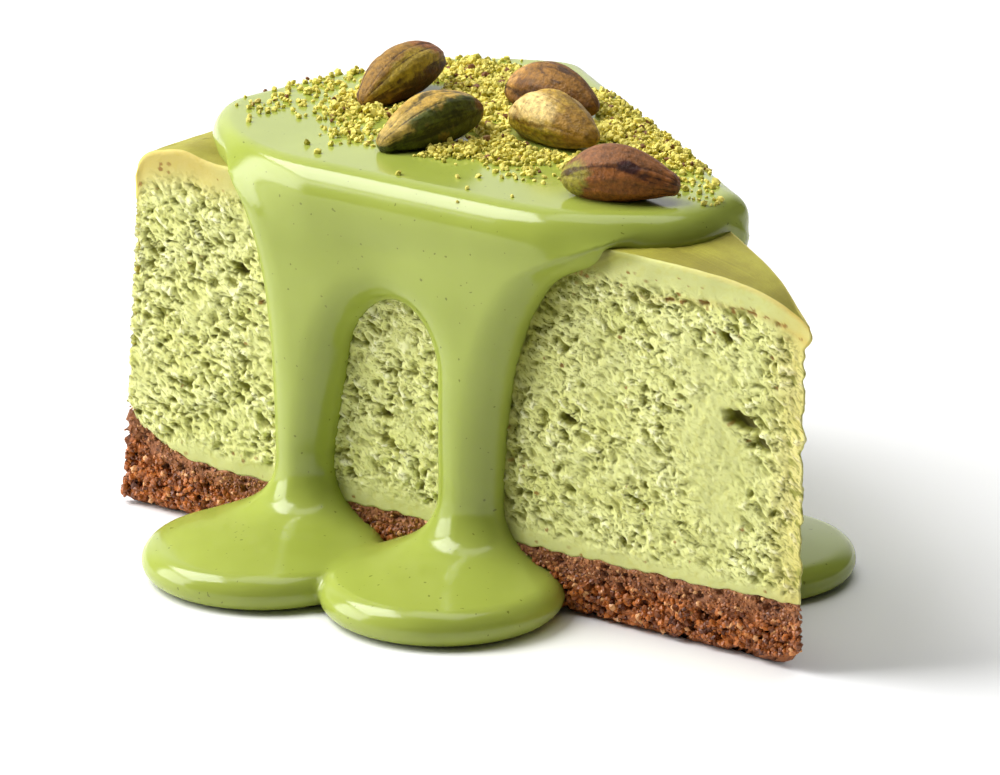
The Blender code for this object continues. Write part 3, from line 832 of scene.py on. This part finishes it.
def crust_colour(paint):
    """Grey-brown where the filling soaked in, orange-brown and coarser below"""
    upper = paint.mix(paint.value("shade"), (122, 70, 38), (188, 124, 76))
    lower = paint.mix(paint.value("shade"), (86, 38, 10), (210, 122, 50))
    return paint.mix(paint.value("lower"), upper, lower)


def crust_material():
    """Pressed crumb, with painted shade that makes its gaps nearly black"""
    paint = Paint("crust")
    colour = crust_colour(paint)
    colour = paint.mix(paint.span(paint.noise(0.9, 2.0), 0.55, 0.72, 0.0, 0.6), colour, (60, 28, 14))
    # Painted shade in the hollows and gaps
    colour = paint.mix(paint.span(paint.value("cavity"), 0.1, 1.0, 0.0, 0.92), colour, (30, 13, 8))
    normal = paint.bump(paint.noise(0.45, 4.0, 0.7), 0.25, 0.8)
    return paint.finish(Base_Color=colour, Roughness=0.7, Normal=normal)


def granule_material():
    """The crust's colours, with a few grains painted pale, partly as sugar and partly as painted glints"""
    paint = Paint("granules")
    # A few grains painted pale: partly sugar, partly painted glints
    sugar_and_glint = paint.span(paint.value("shade"), 0.90, 0.94, 0.0, 0.7)
    colour = paint.mix(sugar_and_glint, crust_colour(paint), (228, 176, 118))
    normal = paint.bump(paint.noise(0.4, 3.0), 0.12, 0.6)
    return paint.finish(Base_Color=colour, Roughness=0.38, Normal=normal)


def glaze_material():
    """Glossy green glaze with a few small specks"""
    paint = Paint("glaze")
    colour = paint.mix(paint.span(paint.noise(14.0, 2.0), 0.35, 0.65), (151, 163, 68), (157, 169, 74))
    speck = paint.span(paint.noise(0.6, 0.0), 0.81, 0.84)
    colour = paint.mix(speck, colour, (118, 126, 48))
    return paint.finish(Base_Color=colour, Roughness=0.16, Subsurface_Weight=0.2,
                        Subsurface_Radius=(1.0, 1.0, 0.35), Subsurface_Scale=1.6 * MM, IOR=1.45)


def crumb_material():
    """Crushed nuts, yellow-green, a few of them brown"""
    paint = Paint("crumbs")
    colour = paint.mix(paint.span(paint.value("shade"), 0.0, 0.55), (176, 168, 56), (234, 220, 104))
    colour = paint.mix(paint.span(paint.value("shade"), 0.93, 0.96), colour, (124, 78, 32))
    normal = paint.bump(paint.noise(0.35, 3.0), 0.12, 0.7)
    return paint.finish(Base_Color=colour, Roughness=0.6, Normal=normal)


# Kernels: skin, creases, beak, zones (colour, middle and reach along it, middle and reach round it)
KERNEL_SKINS = {
    "kernel_1": ((142, 104, 30), (62, 34, 8), 0.10, (
        ((174, 148, 48), 0.45, 0.55, 25.0, 38.0),
        ((84, 46, 12), 0.35, 0.50, -35.0, 44.0),
        ((136, 80, 24), 0.10, 0.24, 75.0, 60.0))),
    "kernel_2": ((84, 90, 26), (36, 36, 8), 0.12, (
        ((184, 148, 58), 0.50, 0.80, 104.0, 56.0),
        ((186, 156, 76), 0.95, 0.24, 62.0, 60.0),
        ((120, 82, 26), 0.02, 0.10, 60.0, 120.0))),
    "kernel_3": ((112, 72, 20), (66, 36, 8), 0.05, (
        ((142, 98, 30), 0.55, 0.42, 118.0, 34.0),
        ((178, 132, 66), 0.13, 0.14, 125.0, 60.0),
        ((48, 32, 8), 0.055, 0.045, 168.0, 26.0))),
    "kernel_4": ((166, 132, 42), (126, 92, 26), 0.05, (
        ((218, 188, 116), 0.36, 0.34, 148.0, 44.0),
        ((150, 130, 30), 0.40, 0.60, 205.0, 28.0),
        ((146, 108, 34), 0.95, 0.26, 150.0, 90.0))),
    "kernel_5": ((136, 80, 28), (54, 24, 8), 0.12, (
        ((140, 130, 44), 0.06, 0.20, 160.0, 110.0),
        ((128, 80, 38), 0.50, 0.45, 112.0, 36.0),
        ((58, 20, 14), 0.62, 0.09, 146.0, 14.0))),
}


def kernel_material(name):
    """Dry skin in several colours, darker in its creases"""
    paint = Paint(name)
    skin, crease, _, zones = KERNEL_SKINS[name]
    blotch = paint.span(paint.noise(2.2, 5.0, 0.65), 0.3, 0.7, -0.34, 0.34)
    colour = skin
    for number, zone in enumerate(zones):
        share = paint.maths("ADD", paint.value(f"zone_{number}"), blotch)
        colour = paint.mix(paint.span(share, 0.15, 0.85), colour, zone[0])
    streaks = paint.span(paint.noise(1.4, 4.0, 0.65), 0.40, 0.72, -0.1, 0.45)
    dark = paint.maths("ADD", paint.value("crease"), streaks)
    colour = paint.mix(paint.span(dark, 0.15, 0.95, 0.0, 0.85), colour, crease)
    tone = paint.span(paint.noise(0.9, 5.0, 0.65), 0.3, 0.7, 0.62, 1.4)
    colour = paint.node("ShaderNodeHueSaturation", Color=colour, Value=tone).outputs["Color"]
    normal = paint.bump(paint.noise(0.7, 4.0, 0.65), 0.32, 0.9)
    return paint.finish(Base_Color=colour, Roughness=0.50, Normal=normal, Specular_IOR_Level=0.3)


# Pieces

# The glaze is searched for between these corners
GLAZE_BOX = (TIP_X - RADIUS - 6.0, -55.0, -2.0), (TIP_X - 16.0, 52.0, HEIGHT + 6.0)

# Rings on the underside and the top lie this far in from the walls
FILLING_INSETS = (0.25, 0.55, 0.95, 1.4, 2.0, 2.7, 3.6, 4.8, 6.4, 8.5, 11.5, 15.0, 20.0)
CRUST_INSETS = (0.4, 0.9, 1.6, 3.0, 8.0)
GRANULE_COUNT = 9800


def make_filling():
    points, faces, values = slice_mesh(filling_foot, top_height, WALL_STEP, filling_relief,
                                       filling_tip, filling_skin, FILLING_INSETS)
    piece = add_mesh("filling_crumb", points, faces)
    for name in values:
        add_values(piece, name, values[name])
    piece.data.materials.append(filling_material())
    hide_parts("filling")


def make_crust():
    points, faces, values = slice_mesh(crust_bottom, crust_head, 1.1 * WALL_STEP, crust_relief,
                                       crust_tip, crust_skin, CRUST_INSETS)
    piece = add_mesh("biscuit_crumb", points, faces)
    for name in values:
        add_values(piece, name, values[name])
    piece.data.materials.append(crust_material())
    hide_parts("crust")


def make_glaze():
    points, quads = surface_net(glaze_field, *GLAZE_BOX, GLAZE_CELL)
    points = settle(points, glaze_field)
    piece = add_mesh("glaze_coat", points, quads)
    piece.data.materials.append(glaze_material())
    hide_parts("glaze")


def grain_cloud(name, centres, sizes, material, draw):
    """Scattered angular grains as one mesh, each of its own shape and shade"""
    ball = grain_ball()
    count, corners = len(centres), len(ball[0])
    shape = ball[0][None] * draw.uniform(0.70, 1.30, (count, corners, 1))
    shape = shape * draw.uniform(0.72, 1.2, (count, 1, 3))
    turns = draw.normal(size=(count, 4))
    turns /= np.linalg.norm(turns, axis=1, keepdims=True)
    turn, axis = turns[:, None, :1], turns[:, None, 1:]
    across = 2.0 * np.cross(axis, shape)
    shape = shape + turn * across + np.cross(axis, across)
    points = centres[:, None] + shape * sizes[:, None, None]
    faces = ball[1][None] + np.arange(count)[:, None, None] * corners
    piece = add_mesh(name, points.reshape(-1, 3), faces.reshape(-1, 3), smooth=False)
    add_values(piece, "shade", np.repeat(draw.uniform(0.0, 1.0, count), corners))
    piece.data.materials.append(material)
    return piece


def grain_ball():
    """Corners and faces of a ball of 20 faces and radius 1"""
    golden = (1.0 + math.sqrt(5.0)) / 2.0
    corners = []
    for a in (-1.0, 1.0):
        for b in (-golden, golden):
            corners += [(a, b, 0.0), (0.0, a, b), (b, 0.0, a)]
    corners = [Vector(corner).normalized() for corner in corners]
    longest = 1.06
    faces = []
    for i in range(12):
        for j in range(i + 1, 12):
            for k in range(j + 1, 12):
                lengths = [(corners[p] - corners[q]).length for p, q in ((i, j), (j, k), (i, k))]
                if max(lengths) < longest:
                    normal = (corners[j] - corners[i]).cross(corners[k] - corners[i])
                    faces.append((i, j, k) if normal.dot(corners[i]) > 0.0 else (i, k, j))
    return np.array([tuple(corner) for corner in corners]), np.array(faces)


def make_granules():
    """Biscuit grains all over the crust's walls, finer towards the filling"""
    draw = np.random.default_rng(5)
    count = GRANULE_COUNT
    side = draw.choice((FRONT, FRONT, FRONT, RIM, BACK), count)
    share = draw.uniform(0.0, 1.0, count)
    level = draw.uniform(0.0, 1.0, count) ** 1.15
    x, y = station_points(side, share, np.zeros(count))[:2]
    low = crust_bottom(x, y)
    z = low + (layer_seam(x, y) - 0.5 - low) * level
    x, y, out_x, out_y = station_points(side, share, np.maximum(z, 0.0))
    depth, extra = crust_relief(side, way_round(side, share), x, y, z)
    lower = extra["lower"]
    sizes = (0.17 + 0.07 * lower) + (0.14 + 0.22 * lower) * draw.uniform(0.0, 1.0, count) ** 2
    inward = depth + draw.uniform(-0.35, 0.35, count) * sizes
    inward = np.minimum(inward, depth_limit(side, share))
    z = np.maximum(z, sizes * 0.9)
    centres = np.stack((x - inward * out_x, y - inward * out_y, z), axis=1)
    piece = grain_cloud("biscuit_grains", centres, sizes, granule_material(), draw)
    add_values(piece, "lower", np.repeat(lower, len(piece.data.vertices) // count))


# Where crushed nuts lie: plan centre, spread and share
CRUMB_HEAPS = (
    (-34.3, -8.0, 3.2, 6), (-38.0, -3.0, 3.0, 9), (-31.0, -4.0, 3.0, 6), (-37.4, 3.7, 3.5, 7),
    (-43.2, 17.2, 3.6, 8), (-38.0, 18.3, 3.6, 9), (-29.8, 12.4, 3.6, 9), (-22.2, 8.5, 3.2, 7),
    (-45.0, 10.0, 3.4, 6), (-35.0, 9.0, 3.4, 7), (-24.0, 2.5, 3.0, 6), (-30.0, 20.0, 3.6, 6),
    (-15.7, -5.5, 2.8, 8), (-17.1, 0.6, 3.0, 9), (-9.3, -0.9, 3.0, 9), (-9.8, -7.2, 2.6, 6),
    (-13.0, -9.5, 2.6, 4), (-4.0, -3.0, 2.8, 5), (-13.0, 21.0, 3.4, 8), (-5.8, 17.8, 3.2, 9),
    (0.8, 17.1, 3.2, 8), (-5.1, 13.0, 3.0, 8), (7.0, 15.8, 2.8, 6), (5.0, 11.0, 3.0, 7),
    (-20.0, 23.0, 3.4, 6), (0.5, 1.5, 3.0, 4), (13.4, 12.5, 2.6, 4), (10.0, 5.0, 3.2, 3),
    (-43.4, -12.1, 3.4, 1.1), (-47.9, -3.9, 3.4, 1.8), (-43.2, -17.0, 2.6, 0.5), (-50.0, 4.0, 3.4, 2.2),
    (-27.7, -13.8, 3.2, 1.6), (-22.0, -12.0, 3.4, 1.6), (3.0, -7.0, 3.4, 1.2), (20.0, 9.0, 3.0, 1.4),
    (28.0, 7.0, 2.6, 0.7), (-20.0, 0.0, 20.0, 2.0),
)

# Crumbs that lie alone on the glaze: plan place and radius
LONE_CRUMBS = ((-12.2, -28.7, 0.62), (-5.4, -29.4, 0.66), (-6.4, -19.9, 0.60), (15.5, -20.6, 0.55),
               (20.5, -24.5, 0.45), (-36.5, -15.4, 0.5), (-0.5, -14.4, 0.45), (-45.7, -13.0, 0.5),
               (22.4, 11.7, 0.66), (-8.6, -26.0, 0.4), (-39.0, -22.0, 0.5), (1.0, -12.0, 0.45))
CRUMB_COUNT = 6400
CRUMB_SMALLEST = 0.24
CRUMB_SIZE_RANGE = 0.32
CRUMB_SPREAD = 0.75
CRUMB_CROWD_CELL = 0.75


def kernel_clearance(x, y, kernel):
    """Plan distance to the edge of a kernel"""
    _, centre, turn, _, length = kernel
    heading = math.cos(math.radians(turn)), math.sin(math.radians(turn))
    a, b = x - centre[0], y - centre[1]
    reach = 0.5 * (length - KERNEL_WIDTH)
    along = np.clip(a * heading[0] + b * heading[1], -reach, reach)
    return np.hypot(a - along * heading[0], b - along * heading[1]) - 0.42 * KERNEL_WIDTH


def make_crumbs():
    """Crushed nuts as one mesh, piled a little where they lie close"""
    draw = np.random.default_rng(11)
    weights = np.array([heap[3] for heap in CRUMB_HEAPS], float)
    heap = np.array([heap[:3] for heap in CRUMB_HEAPS])[
        draw.choice(len(CRUMB_HEAPS), CRUMB_COUNT, p=weights / weights.sum())]
    lone = np.array(LONE_CRUMBS)
    x = np.concatenate((lone[:, 0], heap[:, 0] + CRUMB_SPREAD * heap[:, 2] * draw.normal(size=len(heap))))
    y = np.concatenate((lone[:, 1], heap[:, 1] + CRUMB_SPREAD * heap[:, 2] * draw.normal(size=len(heap))))
    sizes = CRUMB_SMALLEST + CRUMB_SIZE_RANGE * draw.uniform(0.0, 1.0, len(x)) ** 1.6
    sizes[:len(lone)] = lone[:, 2]
    level = np.full(len(x), HEIGHT + SHEET - 0.02)
    keep = poured_field(x, y, level - 0.9) < 0.0
    for kernel in KERNELS:
        keep &= kernel_clearance(x, y, kernel) > 0.0
    x, y, sizes, level = x[keep], y[keep], sizes[keep], level[keep]
    for _ in range(12):
        level -= np.clip(poured_field(x, y, level), -0.5, 0.5)
    cell = np.round(np.stack((x, y)) / CRUMB_CROWD_CELL).astype(int)
    _, turn, many = np.unique(cell[0] * 4096 + cell[1], return_inverse=True, return_counts=True)
    crowd = np.clip((many[turn] - 1.0) / 4.0, 0.0, 1.0)
    z = level + 0.4 * sizes + crowd * draw.uniform(0.0, 1.0, len(x))
    centres = np.stack((x, y, z), axis=1)
    grain_cloud("crushed_nuts", centres, sizes, crumb_material(), draw)


KERNEL_RINGS = 110
KERNEL_SIDES = 84


def kernel_wrinkles(share, round_way, seed):
    """Bulk, wrinkles, fine lines, folds, seam and puckered ends of a kernel's skin"""
    a = np.cos(round_way) + 0.0 * share
    b = np.sin(round_way) + 0.0 * share
    bulk = smooth_noise(a * 0.9, b * 0.9, share * 1.6 + 0.0 * a, seed)
    swirl = share * 1.5 + 0.12 * bulk
    wrinkle = smooth_noise(a * 2.3, b * 2.3, swirl, seed + 1)
    wrinkle = wrinkle + 0.6 * smooth_noise(a * 4.6, b * 4.6, swirl * 1.8, seed + 2)
    fine = smooth_noise(a * 9.0, b * 9.0, swirl * 4.0, seed + 3)
    fold = np.exp(-(np.abs(smooth_noise(a * 1.5, b * 1.5, swirl * 0.8, seed + 4)) / 0.05) ** 2)
    seam = np.exp(-(np.sin(round_way) / 0.16) ** 2) * (np.cos(round_way) > 0.0)
    pucker = np.exp(-share / 0.09) + 0.7 * np.exp(-(1.0 - share) / 0.07)
    return bulk, wrinkle, fine, fold, seam, pucker


def make_kernel(name, centre, turn, tilt, length):
    """A whole kernel: a bent drop with a beak, wrinkled along its length"""
    beak, zones = KERNEL_SKINS[name][2:]
    ring = np.arange(KERNEL_RINGS + 1) / KERNEL_RINGS
    share = (0.5 - 0.5 * np.cos(math.pi * ring))[:, None]
    round_way = (2.0 * math.pi * np.arange(KERNEL_SIDES) / KERNEL_SIDES)[None, :]
    seed = 50 + 10 * int(name[-1])
    bulk, wrinkle, fine, fold, seam, pucker = kernel_wrinkles(share, round_way, seed)
    girth = np.maximum(np.sin(math.pi * share ** 0.86), 0.0) ** 0.58
    girth = girth + beak * np.exp(-((share - 0.97) / 0.05) ** 2) * (share < 1.0)
    girth[0] = girth[-1] = 0.0
    ridges = 1.0 + 0.09 * bulk + 0.075 * wrinkle + 0.024 * fine - 0.034 * fold
    ridges = ridges - 0.06 * seam + 0.07 * pucker * np.cos(7.0 * round_way + 3.0 * bulk)
    girth = girth * ridges
    y = 0.5 * KERNEL_WIDTH * girth * np.cos(round_way)
    z = 0.5 * KERNEL_DEPTH * girth * np.sin(round_way) - KERNEL_BEND * (2.0 * share - 1.0) ** 2
    x = (share - 0.5) * length + 0.0 * round_way
    points = np.stack((x, y, z), axis=-1).reshape(-1, 3)
    pose = Matrix.Rotation(math.radians(turn), 3, "Z") @ Matrix.Rotation(math.radians(-tilt), 3, "Y")
    points = points @ np.array(pose).T
    points[:, 2] += HEIGHT + SHEET - KERNEL_SINK - points[:, 2].min()
    points[:, :2] += centre
    piece = add_mesh(name + "_skin", points, ring_quads(KERNEL_RINGS + 1, KERNEL_SIDES))
    for number, (_, middle, reach, angle, spread) in enumerate(zones):
        off = (np.degrees(round_way) - angle + 180.0) % 360.0 - 180.0
        zone = np.hypot((share - middle) / reach, off / spread) + 0.12 * wrinkle
        add_values(piece, f"zone_{number}", ramp(zone, 1.5, 0.5).reshape(-1))
    crease = np.maximum(ramp(-wrinkle - 0.5 * fine, 0.15, 0.9), 0.8 * fold)
    crease = np.maximum(crease, np.maximum(0.7 * seam, 0.5 * np.clip(pucker, 0.0, 1.0) * (fine < 0.0)))
    add_values(piece, "crease", crease.reshape(-1))
    piece.data.materials.append(kernel_material(name))
    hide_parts(name)


# The stage

# The camera that the photo's own edges fit, looking at the slice from its tip's side
CAMERA_TURN = math.radians(53.84)
CAMERA_RISE = math.radians(18.71)
CAMERA_DISTANCE = 924.0
CAMERA_LENS = 241.3
CAMERA_ASIDE = -6.20
CAMERA_UP = 22.84

# Softboxes: name, direction, distance, width and height, level
LIGHTS = (
    ("key", (-0.52, -0.44, 0.88), 1200.0, (800.0, 640.0), 1.14),
    ("fill", (-0.66, -0.72, 0.32), 1500.0, (1000.0, 900.0), 0.80),
    ("overhead", (-0.05, 0.10, 1.0), 1300.0, (900.0, 900.0), 0.42),
)
LIGHTS_AIM = (0.0, 0.0, 30.0)

# The studio's bright part: where it is, where it starts and is full, both levels
WORLD_BRIGHT = (-0.78, 0.54, 0.32)
WORLD_FADE = (0.58, 1.0)
WORLD_LEVELS = (0.05, 1.1)

# The floor, in metres
FLOOR_REACH = 1.6
FLOOR_DROP = 0.0002
FLOOR_TONE = 0.85


def make_camera():
    back = np.array((math.sin(CAMERA_TURN) * math.cos(CAMERA_RISE),
                     -math.cos(CAMERA_TURN) * math.cos(CAMERA_RISE), math.sin(CAMERA_RISE)))
    right = np.array((math.cos(CAMERA_TURN), math.sin(CAMERA_TURN), 0.0))
    up = np.cross(back, right)
    place = right * CAMERA_ASIDE + up * CAMERA_UP + back * CAMERA_DISTANCE + ORIGIN
    data = bpy.data.cameras.new("camera")
    data.lens = CAMERA_LENS
    data.sensor_width = 36.0
    data.clip_start = 0.01
    data.clip_end = 10.0
    camera = bpy.data.objects.new("camera", data)
    bpy.context.collection.objects.link(camera)
    turn = Matrix((right, up, back)).transposed().to_4x4()
    camera.matrix_world = Matrix.Translation(Vector(place * MM)) @ turn
    bpy.context.scene.camera = camera


def make_light(name, direction, distance, size, level):
    """A rectangular softbox; level is how bright it makes white paper that faces it"""
    data = bpy.data.lights.new(name, "AREA")
    data.shape = "RECTANGLE"
    data.size, data.size_y = size[0] * MM, size[1] * MM
    data.energy = level * math.pi ** 2 * (distance * MM) ** 2
    light = bpy.data.objects.new(name, data)
    bpy.context.collection.objects.link(light)
    way = Vector(direction).normalized()
    place = Vector(LIGHTS_AIM) + way * distance + Vector(ORIGIN)
    light.matrix_world = Matrix.Translation(place * MM) @ way.to_track_quat("Z", "Y").to_matrix().to_4x4()


def make_world():
    """A dim studio, bright behind the slice"""
    world = bpy.data.worlds.new("studio")
    world.use_nodes = True
    tree = world.node_tree
    background = tree.nodes["Background"]
    place = tree.nodes.new("ShaderNodeTexCoord")
    towards = tree.nodes.new("ShaderNodeVectorMath")
    towards.operation = "DOT_PRODUCT"
    towards.inputs[1].default_value = tuple(Vector(WORLD_BRIGHT).normalized())
    tree.links.new(place.outputs["Generated"], towards.inputs[0])
    level = tree.nodes.new("ShaderNodeMapRange")
    level.interpolation_type = "SMOOTHSTEP"
    for name, value in zip(("From Min", "From Max", "To Min", "To Max"), WORLD_FADE + WORLD_LEVELS):
        level.inputs[name].default_value = value
    tree.links.new(towards.outputs["Value"], level.inputs["Value"])
    tree.links.new(level.outputs["Result"], background.inputs["Strength"])
    background.inputs["Color"].default_value = (1.0, 1.0, 1.0, 1.0)
    bpy.context.scene.world = world


def make_stage():
    """A pale floor, the studio round it and three softboxes"""
    size = FLOOR_REACH
    mesh = bpy.data.meshes.new("floor")
    mesh.from_pydata([(-size, -size, 0.0), (size, -size, 0.0), (size, size, 0.0), (-size, size, 0.0)],
                     [], [(0, 1, 2, 3)])
    floor = bpy.data.objects.new("floor", mesh)
    floor.location.z = -FLOOR_DROP
    bpy.context.collection.objects.link(floor)
    paint = Paint("floor")
    mesh.materials.append(paint.finish(Base_Color=(FLOOR_TONE, FLOOR_TONE, FLOOR_TONE, 1.0), Roughness=0.9))
    make_world()
    for values in LIGHTS:
        make_light(*values)
    bpy.context.scene.view_settings.view_transform = "Standard"


make_filling()
make_crust()
make_granules()
make_glaze()
make_crumbs()
for values in KERNELS:
    make_kernel(*values)
make_camera()
make_stage()
